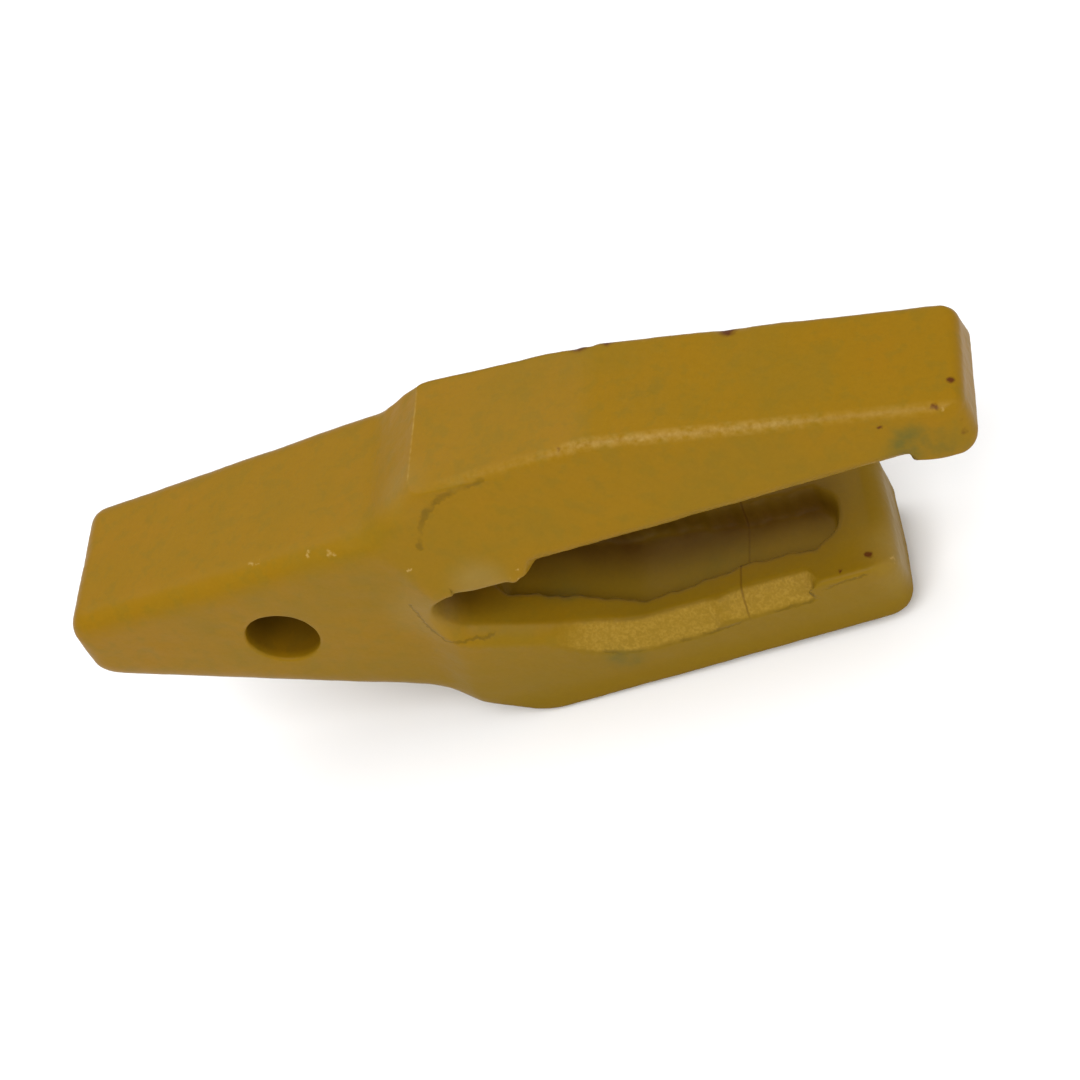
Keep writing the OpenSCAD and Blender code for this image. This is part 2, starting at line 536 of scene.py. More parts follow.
            inset = inset * (1.0 - slope) + (7.0 - 4.9 * rise(x, 32.0, 53.0)) * slope
            inset = inset * (1.0 - 0.3 * np.isin(outer.part, (BROW, BROW + 1)))
        return start, half, inset, fullness, grain

    def pocket(self, outer: Loop, x: np.ndarray, y: np.ndarray) -> np.ndarray:
        """Depth of the relief pocket in the lower strap's inner face.

        The distance inside a plate with a round end, which is wider toward
        the throat, taken up in a smooth step at its wall, times the depth.

        Args:
            outer: The rim's outline.
            x: Positions of the rim's points along the lip plate.
            y: Their positions across it.

        Returns:
            Depths, zero away from the slot floor.
        """
        on = np.isin(outer.part, SLOT_FLOOR)[:, None]
        middle = 0.5 * (self.pocket_start + self.pocket_end)
        half = 0.5 * (self.pocket_end - self.pocket_start)
        r = self.pocket_round
        bulge = 2.7 * (1.0 - rise(x, 104.0, 126.0)) + 1.6 * np.exp(-(((x - 95.0) / 8.0) ** 2))
        ragged = 0.35 * np.sin(0.55 * x + 0.4) + 0.2 * np.sin(1.3 * x)
        dx = np.abs(x - middle) - (half - r)
        dy = np.abs(y) - (self.pocket_half + bulge + ragged - r)
        outside = np.hypot(np.maximum(dx, 0.0), np.maximum(dy, 0.0))
        inside = r - outside - np.minimum(np.maximum(dx, dy), 0.0)
        return self.pocket_depth * rise(inside, -0.4, 3.2) * on * rise(x, 51.0, 60.0)

    def edge_curve(
        self, outer: Loop, inner: Loop, side: Side
    ) -> tuple[np.ndarray, np.ndarray, np.ndarray, np.ndarray, np.ndarray]:
        """Works out the broken edge of one side as a grid of points.

        A quadratic curve leads from the rim's shelf to the side face. Its
        control point lies between the sharp corner (fullness 1, round) and the
        middle of its chord (fullness 0, a flat bevel).

        Args:
            outer: The rim's outline.
            inner: The loop where the side faces begin.
            side: Side of the casting.

        Returns:
            The start of the side face in the side view, the curve's points
            after the shelf, the shelf, the inset and the grain.
        """
        start, half, inset, fullness, grain = self.edges(outer, inner, side)
        x, z = outer.point.T
        rim = np.stack([x, half, z], 1)
        foot = np.stack([start[:, 0], self.half_width(*start.T), start[:, 1]], 1)
        shelf = rim - inset[:, None] * np.array([0.0, 1.0, 0.0])
        chord = 0.5 * (shelf + foot)
        control = chord + fullness[:, None] * (rim - chord)
        t = np.linspace(0.0, 1.0, self.edge_cells + 1)[1:, None, None]
        curve = (1 - t) ** 2 * shelf + 2 * t * (1 - t) * control + t * t * foot
        flip = np.array([1.0, side.value, 1.0])
        return start, curve.transpose(1, 0, 2) * flip, shelf * flip, inset, grain

    def band(self) -> tuple[np.ndarray, np.ndarray, np.ndarray]:
        """Carries the cross profile along the outline.

        From one side face to the other the profile runs up the near edge's
        curve to the rim, straight across it and down the far edge's curve.

        Returns:
            Points on the grid (along, across, xyz), masks on the same grid
            (rubbed edges with a painted highlight, strip grain, painted shade),
            and the closed loop of the side face's start in the side view.
        """
        outer, inner = self.loops()
        start, near, near_shelf, inset, grain = self.edge_curve(outer, inner, Side.NEAR)
        _, far, far_shelf, _, _ = self.edge_curve(outer, inner, Side.FAR)
        across = np.linspace(0.0, 1.0, self.rim_cells + 1)[None, :, None]
        flat = near_shelf[:, None, :] * (1.0 - across) + far_shelf[:, None, :] * across
        depth = self.pocket(outer, flat[:, :, 0], flat[:, :, 1])
        flat[:, :, [0, 2]] += depth[:, :, None] * outer.inward[:, None, :]
        grid = np.concatenate([near[:, ::-1], flat, far], 1)
        softened = 0.25 * grid[:, :-2] + 0.5 * grid[:, 1:-1] + 0.25 * grid[:, 2:]
        grained = grain > 0.05
        grid[grained, 1:-1] = softened[grained]
        strip = np.append(np.ones(self.edge_cells - 1), 0.0)
        strips = np.concatenate([strip[::-1], np.zeros(self.rim_cells + 1), strip])
        rough = grain[:, None] * strips
        wear_and_highlight = self.wear_and_highlight_mask(outer, inset) * (1 - np.minimum(1, rough * 2))
        painted_shade = self.painted_shade_mask(outer, flat[:, :, 1], depth)
        return self.trim(grid), np.stack([wear_and_highlight, rough, painted_shade], 2), start

    def wear_and_highlight_mask(self, outer: Loop, inset: np.ndarray) -> np.ndarray:
        """Rubbed edges and a painted highlight on the grid of the band.

        It is a half sine over the curve of each sharp edge, and along the
        brow where the shoulder meets the upper strap's top.

        Args:
            outer: The rim's outline.
            inset: Reach of the broken edge across the rim; a wide one has none.

        Returns:
            The mask, 0 to 1, less on the far side.
        """
        x = outer.point[:, 0]
        arch = np.sin(np.pi * np.linspace(0.0, 1.0, self.edge_cells + 1)[1:])[None, :] ** 1.2
        # Along the upper strap's near ridge this is a painted highlight: full from X 103, weaker
        # past X 148.
        sharp = np.clip((4.2 - inset) / 1.7, 0.0, 1.0) * (0.3 + 0.7 * rise(x, 90.0, 103.0))
        top = np.isin(outer.part, UPPER_TOP) * (1.0 - 0.55 * rise(x, 148.0, 168.0))
        worn_and_highlight = arch * (sharp * (top + 0.4 * (outer.part == UPPER_INNER)))[:, None]
        brow = (outer.part == BROW) * np.sin(np.pi * outer.fraction)
        brow = np.repeat(brow[:, None], self.rim_cells + 1, 1)
        return np.concatenate([worn_and_highlight[:, ::-1], brow, 0.3 * worn_and_highlight], 1)

    def painted_shade_mask(self, outer: Loop, y: np.ndarray, depth: np.ndarray) -> np.ndarray:
        """Painted shade on the grid of the band: the throat, the slot floor and the pocket.

        Args:
            outer: The rim's outline.
            y: Positions of the rim's points across the casting.
            depth: Depth of the pocket at each.

        Returns:
            The mask, zero on the broken edges.
        """
        x = outer.point[:, 0]
        inside = np.isin(outer.part, SLOT) * (1.0 - rise(x, 138.0, 155.0))
        # Painted shade under the upper strap, darker toward the middle of the slot and at the
        # throat's near side.
        deep_shade = 0.10 + 0.5 * rise(y, -17.0, 0.0) - 0.25 * rise(y, 9.0, 15.0)
        deep_shade = deep_shade + 0.5 * (1.0 - rise(x, 46.0, 66.0))[:, None] * rise(y, -23.0, -15.0)
        share = depth / self.pocket_depth
        # Painted shade on the pocket's far wall and across its floor, darker toward the far side.
        wall = (4.0 * share * (1.0 - share)) ** 0.5 * rise(y, -1.0, 4.0)
        bed = 0.05 + 0.85 * rise(y, -6.0, 9.0) - 0.35 * rise(y, 9.0, 12.0)
        mask = inside[:, None] * deep_shade * (1.0 - share) + np.maximum(wall, bed) * share
        return np.pad(mask, ((0, 0), (self.edge_cells,) * 2))

    def bore(self, count: int = 84, cells: int = 20) -> tuple[np.ndarray, np.ndarray]:
        """Carries a ring through the casting: the bore and its two rounded lips.

        The radius is the bore's, widened at each mouth by a quarter circle of
        the lip's radius.

        Args:
            count: Points round the ring.
            cells: Intervals along the straight bore.

        Returns:
            Points on the grid (across, round, xyz), and the painted shade inside the bore.
        """
        angle = np.linspace(0.0, 2.0 * math.pi, count, endpoint=False)
        turn = np.linspace(0.0, math.pi / 2.0, 6)
        wide = self.bore_r + self.bore_lip * (1.0 - np.sin(turn))
        drop = self.bore_lip * (1.0 - np.cos(turn))
        ragged = 1.0 + 0.25 * np.exp(-(((angle - 4.6) / 0.9) ** 2))
        radius = self.bore_r + (wide - self.bore_r)[:, None] * ragged
        x, z = radius * np.cos(angle), radius * np.sin(angle)
        lip = np.stack([x, self.half_width(x, z) - drop[:, None] * np.ones(count), z], 2)
        straight = np.linspace(1.0, -1.0, cells + 1)[1:-1, None]
        tube = np.stack(np.broadcast_arrays(x[-1], straight * lip[-1, :, 1], z[-1]), 2)
        grid = np.concatenate([lip, tube, lip[::-1] * np.array([1.0, -1.0, 1.0])])
        span = np.abs(grid[:, :, 1]).max()
        # Painted shade inside the bore, rising over the first 3 mm from each mouth.
        return grid, 0.6 * rise(span - np.abs(grid[:, :, 1]), 0.2, 3.0)

    @staticmethod
    def within(loop: np.ndarray, points: np.ndarray) -> np.ndarray:
        """Tells which points lie inside a loop, by counting the edges above each.

        Args:
            loop: Closed loop, one row a point.
            points: Points to test.

        Returns:
            True where a point is inside.
        """
        a, b = loop, np.roll(loop, -1, 0)
        px, pz = points[:, :1], points[:, 1:]
        spans = (a[:, 0] > px) != (b[:, 0] > px)
        across = b[:, 0] - a[:, 0]
        rate = (b[:, 1] - a[:, 1]) / np.where(across == 0.0, 1e-9, across)
        return ((spans & (pz < a[:, 1] + (px - a[:, 0]) * rate)).sum(1) % 2) == 1

    def face(self, start: np.ndarray, ring: np.ndarray) -> tuple[np.ndarray, np.ndarray]:
        """Fills a side face between its start loop and the mouth of the bore.

        A net of equal triangles covers it. Flat triangles between points in
        line on the loop are left out.

        Args:
            start: Loop round the face in the side view.
            ring: Loop round the bore.

        Returns:
            The extra points inside the face, and its triangles: numbers run
            through the loop, the ring and the extra points in that order.
        """
        step = self.face_step
        xs = np.arange(start[:, 0].min(), start[:, 0].max(), step)
        zs = np.arange(start[:, 1].min(), start[:, 1].max(), step * ROW)
        gx, gz = np.meshgrid(xs, zs)
        gx = gx + 0.5 * step * (np.arange(len(zs)) % 2)[:, None]
        inner = np.stack([gx.ravel(), gz.ravel()], 1)
        inner = inner[self.within(start, inner)]
        reach = np.sqrt(((inner[:, None, :] - start[None, :, :]) ** 2).sum(2)).min(1)
        clear = np.hypot(*inner.T) > np.hypot(*ring.T).max() + self.bore_margin
        inner = inner[(reach > self.face_margin) & clear]
        points = np.concatenate([start, ring, inner])
        n, m = len(start), len(ring)
        loops = [(i, (i + 1) % n) for i in range(n)]
        loops += [(n + i, n + (i + 1) % m) for i in range(m)]
        out = delaunay_2d_cdt([Vector(p) for p in points.tolist()], loops, [], 0, 1e-7)
        place = np.array([o[0] if o else -1 for o in out[3]])
        tri = place[np.array([f for f in out[2] if len(f) == 3])]
        centre = points[tri].mean(1)
        keep = self.within(start, centre) & ~self.within(ring, centre) & (tri >= 0).all(1)
        tri = tri[keep]
        a, b, c = (points[tri[:, k]] for k in range(3))
        area = (b - a)[:, 0] * (c - a)[:, 1] - (b - a)[:, 1] * (c - a)[:, 0]
        tri[area < 0] = tri[area < 0][:, ::-1]
        return inner, tri[np.abs(area) > SLIVER]

    def weather(self, points: np.ndarray, normals: np.ndarray, rough: np.ndarray) -> np.ndarray:
        """Moves the surface a little, as a sand casting's is.

        Broad waves of under a tenth of a millimetre, two finer ones of a few
        hundredths, coarse grain on the rough strips, and the pits.

        Args:
            points: Positions.
            normals: Outward normals.
            rough: Grain of the strips, 0 to 1.

        Returns:
            New positions.
        """
        move = 0.07 * wave(points, 24.0, 3, 24)
        move += 0.035 * wave(points, 8.0, 4, 24)
        move += 0.018 * wave(points, 3.4, 5, 24)
        move += rough * (0.10 * wave(points, 3.0, 6, 14) + 0.07 * wave(points, 1.9, 7, 14))
        for pit in self.pits:
            away = ((points - np.array([pit.x, pit.y, pit.z])) ** 2).sum(1)
            move -= pit.depth * np.exp(-away / pit.radius**2)
        return points + normals * move[:, None]

    def build(self) -> bpy.types.Object:
        """Joins rim, edges, side faces and bore into one closed mesh.

        Returns:
            The casting.
        """
        band, masks, start = self.band()
        bore, deep_shade = self.bore()
        n, m = band.shape[:2]
        k, r = bore.shape[:2]
        ring = bore[0][:, [0, 2]]
        inner, tri = self.face(start, ring)
        count = len(inner)
        face = self.trim(np.stack([inner[:, 0], self.half_width(*inner.T), inner[:, 1]], 1))
        mirror = np.array([1.0, -1.0, 1.0])
        points = [band.reshape(-1, 3), bore.reshape(-1, 3), face, face * mirror]
        points = self.skew(np.concatenate(points))
        base_bore, base_far = n * m, n * m + k * r
        i, j = np.meshgrid(np.arange(n), np.arange(m - 1), indexing="ij")
        i2 = (i + 1) % n
        quads = np.stack([i * m + j, i * m + j + 1, i2 * m + j + 1, i2 * m + j], 2)
        a, b = np.meshgrid(np.arange(k - 1), np.arange(r), indexing="ij")
        b2 = (b + 1) % r
        pipe = np.stack([a * r + b, (a + 1) * r + b, (a + 1) * r + b2, a * r + b2], 2)
        quads = self.outward(points, quads.reshape(-1, 4))
        pipe = self.outward(points, base_bore + pipe.reshape(-1, 4), toward_axis=True)
        rim, mouth, net = np.arange(n) * m, base_bore + np.arange(r), base_far + np.arange(count)
        far = np.concatenate([rim + m - 1, mouth, net])[tri][:, ::-1]
        near = np.concatenate([rim, mouth + (k - 1) * r, net + count])[tri]
        plain = np.zeros(2 * count)
        wear_and_highlight = np.concatenate([masks[:, :, 0].ravel(), np.zeros(k * r), plain])
        rough = np.concatenate([masks[:, :, 1].ravel(), np.zeros(k * r), plain])
        painted_shade = np.concatenate([masks[:, :, 2].ravel(), deep_shade.ravel(), plain])
        faces = quads.tolist() + pipe.tolist() + far.tolist() + near.tolist()
        normals = self.normals(points, quads, pipe, far, near)
        points = self.weather(points, normals, rough)
        mesh = bpy.data.meshes.new("casting")
        mesh.from_pydata((points * MM).tolist(), [], faces)
        for name, values in (("wear_and_highlight", wear_and_highlight), ("grain", rough), ("painted_shade", painted_shade)):
            layer = mesh.attributes.new(name, "FLOAT", "POINT")
            layer.data.foreach_set("value", values.astype(np.float32))
        mesh.polygons.foreach_set("use_smooth", np.ones(len(mesh.polygons), bool))
        mesh.validate()
        mesh.update()
        casting = bpy.data.objects.new("casting", mesh)
        bpy.context.scene.collection.objects.link(casting)
        return casting

    @staticmethod
    def outward(points: np.ndarray, quads: np.ndarray, toward_axis: bool = False) -> np.ndarray:
        """Turns a whole grid's faces round if they point inwards.

        The signed volume under the grid tells which way they point: for the
        bore's tube it must be negative.

        Args:
            points: All positions.
            quads: The grid's faces.
            toward_axis: True for a tube seen from inside.

        Returns:
            The faces, all turned the right way.
        """
        p = points[quads]
        middle = p.mean(1)
        normal = np.cross(p[:, 2] - p[:, 0], p[:, 3] - p[:, 1])
        if toward_axis:
            sign = -(middle[:, [0, 2]] * normal[:, [0, 2]]).sum()
        else:
            sign = (middle * normal).sum()
        return quads if sign > 0 else quads[:, ::-1]

    @staticmethod
    def normals(points: np.ndarray, *groups: np.ndarray) -> np.ndarray:
        """Outward unit normals at the points, from the faces round each.

        Args:
            points: All positions.
            groups: Arrays of faces with three or four corners.

        Returns:
            One normal a point.
        """
        total = np.zeros_like(points)
        for faces in groups:
            corners = [points[faces[:, c]] for c in range(faces.shape[1])]
            if len(corners) == 3:
                a, b = corners[1] - corners[0], corners[2] - corners[0]
            else:
                a, b = corners[2] - corners[0], corners[3] - corners[1]
            normal = np.cross(a, b)
            for c in range(faces.shape[1]):
                np.add.at(total, faces[:, c], normal)
        return total / np.maximum(np.linalg.norm(total, axis=1), 1e-12)[:, None]


class Signal:
    """A socket of a node tree that takes part in Python expressions."""

    def __init__(self, tree: bpy.types.NodeTree, socket: bpy.types.NodeSocket) -> None:
        """Keeps the tree and the socket."""
        self.tree = tree
        self.socket = socket

    def maths(self, operation: str, *values: "Signal | float", clamp: bool = False) -> "Signal":
        """Adds a Math node.

        Args:
            operation: The node's operation.
            values: Inputs in order.
            clamp: Whether the result is kept within 0 and 1.

        Returns:
            The node's result.
        """
        node = self.tree.nodes.new("ShaderNodeMath")
        node.operation = operation
        node.use_clamp = clamp
        for slot, value in zip(node.inputs, values):
            plug(self.tree, slot, value)
        return Signal(self.tree, node.outputs[0])

    def __add__(self, other: "Signal | float") -> "Signal":
        """Sum."""
        return self.maths("ADD", self, other)

    def __radd__(self, other: float) -> "Signal":
        """Sum with a number on the left."""
        return self.maths("ADD", other, self)

    def __sub__(self, other: "Signal | float") -> "Signal":
        """Difference."""
        return self.maths("SUBTRACT", self, other)

    def __rsub__(self, other: float) -> "Signal":
        """Difference from a number on the left."""
        return self.maths("SUBTRACT", other, self)

    def __mul__(self, other: "Signal | float") -> "Signal":
        """Product."""
        return self.maths("MULTIPLY", self, other)

    def __rmul__(self, other: float) -> "Signal":
        """Product with a number on the left."""
        return self.maths("MULTIPLY", other, self)

    def larger(self, other: "Signal | float") -> "Signal":
        """The larger of the two."""
        return self.maths("MAXIMUM", self, other)

    def clipped(self) -> "Signal":
        """Kept within 0 and 1."""
        return self.maths("ADD", self, 0.0, clamp=True)

    def step(self, low: float, high: float) -> "Signal":
        """Smooth step from 0 at low to 1 at high (low may be the greater)."""
        t = self.maths("DIVIDE", self - low, high - low, clamp=True)
        return t * t * (3.0 - 2.0 * t)


def largest(signals: Iterable[Signal]) -> Signal:
    """The largest of any number of signals."""
    return reduce(Signal.larger, signals)


def plug(tree: bpy.types.NodeTree, slot: bpy.types.NodeSocket, value: object) -> None:
    """Links a signal to a socket, or sets the socket to a plain value."""
    if isinstance(value, Signal):
        tree.links.new(value.socket, slot)
    else:
        slot.default_value = value


class Finish:
    """A material under construction."""

    def __init__(self, name: str) -> None:
        """Starts an empty material with a Principled shader."""
        self.material = bpy.data.materials.new(name)
        self.material.use_nodes = True
        self.tree = self.material.node_tree
        self.tree.nodes.clear()
        self.shader = self.tree.nodes.new("ShaderNodeBsdfPrincipled")
        output = self.tree.nodes.new("ShaderNodeOutputMaterial")
        self.tree.links.new(self.shader.outputs[0], output.inputs[0])

    def node(
        self,
        kind: str,
        settings: dict[str, object] | None = None,
        sockets: dict[str | int, object] | None = None,
        out: str | int = 0,
    ) -> Signal:
        """Adds any node.

        Args:
            kind: The node's type.
            settings: Properties, set before the sockets.
            sockets: Values or signals by socket name or number.
            out: Output wanted.

        Returns:
            That output.
        """
        node = self.tree.nodes.new(kind)
        for key, value in (settings or {}).items():
            setattr(node, key, value)
        for key, value in (sockets or {}).items():
            plug(self.tree, node.inputs[key], value)
        return Signal(self.tree, node.outputs[out])

    def place(self) -> Signal:
        """Object coordinates."""
        return self.node("ShaderNodeTexCoord", out="Object")

    def mask(self, name: str) -> Signal:
        """A mask stored on the mesh."""
        return self.node("ShaderNodeAttribute", {"attribute_name": name}, out="Fac")

    def vector(self, kind: str, sockets: dict[str | int, object], out: str = "Vector") -> Signal:
        """Adds a Vector Math node of the given operation."""
        return self.node("ShaderNodeVectorMath", {"operation": kind}, sockets, out)

    def part(self, where: Signal, axis: int) -> Signal:
        """One coordinate of a position."""
        return self.node("ShaderNodeSeparateXYZ", {}, {0: where}, axis)

    def noise(
        self, where: Signal, size_mm: float, detail: float = 2.0, rough: float = 0.5
    ) -> Signal:
        """Noise of about 0 to 1 with features of the given size."""
        sockets = {"Vector": where, "Scale": 1.0 / (size_mm * MM), "Detail": detail}
        return self.node("ShaderNodeTexNoise", {}, sockets | {"Roughness": rough}, "Fac")

    def frayed(self, where: Signal, reach_mm: float) -> Signal:
        """The position moved about by fine noise, which frays the edge of a spot."""
        sockets = {"Vector": where, "Scale": FRAY_SCALE, "Detail": 2.0}
        colour = self.node("ShaderNodeTexNoise", {}, sockets, "Color")
        centred = self.vector("SUBTRACT", {0: colour, 1: (0.5, 0.5, 0.5)})
        moved = self.vector("SCALE", {0: centred, "Scale": reach_mm * MM})
        return self.vector("ADD", {0: where, 1: moved})

    def blend(
        self, factor: Signal | float, a: Signal | Colour, b: Signal | Colour, mode: str = "MIX"
    ) -> Signal:
        """Mixes two colours by a factor."""
        node = self.tree.nodes.new("ShaderNodeMix")
        node.data_type = "RGBA"
        node.blend_type = mode
        plug(self.tree, node.inputs[0], factor)
        plug(self.tree, node.inputs[6], a)
        plug(self.tree, node.inputs[7], b)
        return Signal(self.tree, node.outputs[2])

    def spot(self, where: Signal, centre_mm: Place, inner: float, outer: float) -> Signal:
        """1 within inner millimetres of a point, 0 beyond outer."""
        centre = tuple(c * MM for c in centre_mm)
        gap = self.vector("DISTANCE", {0: where, 1: centre}, "Value")
        return gap.step(outer * MM, inner * MM)

    def stroke(
        self, flat: Signal, start: tuple[float, float], end: tuple[float, float], width: float
    ) -> Signal:
        """1 on a line in the side view, 0 beyond its width.

        The distance to a segment is the length of p - a - t (b - a), with t
        the share of the way along it that is nearest.

        Args:
            flat: Position with Y left out.
            start: First end, X and Z in millimetres.
            end: Other end.
            width: Half width in millimetres.

        Returns:
            The mask.
        """
        a = Vector((start[0], 0.0, start[1])) * MM
        run = Vector((end[0], 0.0, end[1])) * MM - a
        off = self.vector("SUBTRACT", {0: flat, 1: tuple(a)})
        unit = tuple(run / run.length_squared)
        share = self.vector("DOT_PRODUCT", {0: off, 1: unit}, "Value").clipped()
        foot = self.vector("SCALE", {0: tuple(run), "Scale": share})
        gap = self.vector("DISTANCE", {0: off, 1: foot}, "Value")
        return gap.step(width * MM, 0.25 * width * MM)

    def feed(self, **sockets: object) -> None:
        """Feeds the shader; underscores in the names stand for spaces."""
        for key, value in sockets.items():
            plug(self.tree, self.shader.inputs[key.replace("_", " ")], value)


@dataclass(frozen=True)
class Stain:
    """A soft round patch: full strength within inner mm, none beyond outer."""

    centre: Place
    inner: float
    outer: float
    strength: float = 1.0


GREEN_STAINS = (
    Stain((180.0, -20.5, 12.5), 1.0, 8.5, 1.1),
    Stain((188.0, -20.5, 9.5), 1.0, 8.0, 0.55),
    Stain((121.0, -4.0, 35.0), 1.0, 11.0, 0.15),
    Stain((84.0, -25.5, -38.5), 1.0, 8.0, 0.8),
    Stain((72.0, -8.0, -22.0), 3.0, 12.0, 0.5),
    Stain((112.0, 1.0, -35.0), 3.0, 16.0, 0.25),
)
DUST = (
    Stain((63.0, -26.8, 7.5), 2.0, 11.0, 0.45),
    Stain((43.0, -25.0, -2.0), 2.0, 15.0, 0.35),
    Stain((53.0, -14.0, 36.5), 1.0, 12.0, 0.25),
    Stain((163.0, -14.0, -35.0), 3.0, 14.0, 0.5),
)
RUST_SPOTS = (
    Stain((192.7, -8.8, 19.7), 0.3, 1.4),
    Stain((188.7, -16.4, 20.6), 0.5, 1.5),
    Stain((193.7, -18.9, 11.3), 0.5, 1.6),
    Stain((194.0, -18.0, 14.7), 0.4, 1.4),
    Stain((174.7, -17.9, 19.4), 0.2, 0.9),
    Stain((155.4, -16.5, -29.3), 0.5, 1.5),
    Stain((158.1, 11.2, -29.3), 0.3, 1.3),
    Stain((147.6, -19.7, -29.3), 0.2, 0.8),
    Stain((98.3, -16.6, 38.7), 0.3, 1.3),
    Stain((103.0, 16.6, 37.9), 1.0, 3.6),
    Stain((110.0, 16.3, 37.0), 0.4, 2.2),
    Stain((140.0, 15.6, 30.8), 0.7, 3.0),
    Stain((76.0, 18.5, 38.3), 0.3, 1.4),
    Stain((-27.0, 21.0, 25.5), 0.2, 1.2),
    Stain((-54.0, -16.0, 3.0), 0.3, 1.3),
)
# A row of nicks along the nose's near edge, a burr in the notch, worn ends.
NICKS = tuple(
    Stain(centre, 0.3, outer)
    for centre, outer in (
        ((5.6, -18.3, 26.0), 1.5),
        ((8.0, -18.6, 26.2), 1.2),
        ((11.9, -18.1, 26.5), 1.4),
        ((17.8, -18.5, 26.9), 1.5),
        ((23.2, -20.0, 27.3), 1.2),
        ((29.3, -22.0, 27.7), 1.5),
        ((71.8, -25.4, 5.6), 1.4),
        ((74.0, -24.8, 8.2), 0.9),
        ((190.4, -17.2, 20.2), 1.3),
        ((47.5, -24.8, 17.5), 1.0),
        ((162.0, -17.0, -31.5), 1.6),
        ((163.0, -20.0, -37.0), 1.4),
    )
)
# Scratches and mould lines on the near side; the first line is painted shade along the crease at
# the side facet's curved front end. X and Z of the points, half width.
LINES = (
    (((77.0, 36.9), (70.0, 36.4), (64.5, 35.3), (59.5, 32.7), (56.0, 28.7), (53.0, 23.0)), 1.2),
    (((40.3, 3.0), (41.0, -8.0), (43.5, -12.4), (55.6, -15.9)), 0.6),
    (((80.0, -33.5), (84.0, -36.6), (95.0, -37.8), (107.0, -38.0)), 0.7),
    (((107.0, -38.0), (121.0, -36.0), (138.0, -35.9)), 0.7),
    (((142.0, -32.5), (147.0, -31.2), (154.0, -30.8)), 0.6),
)


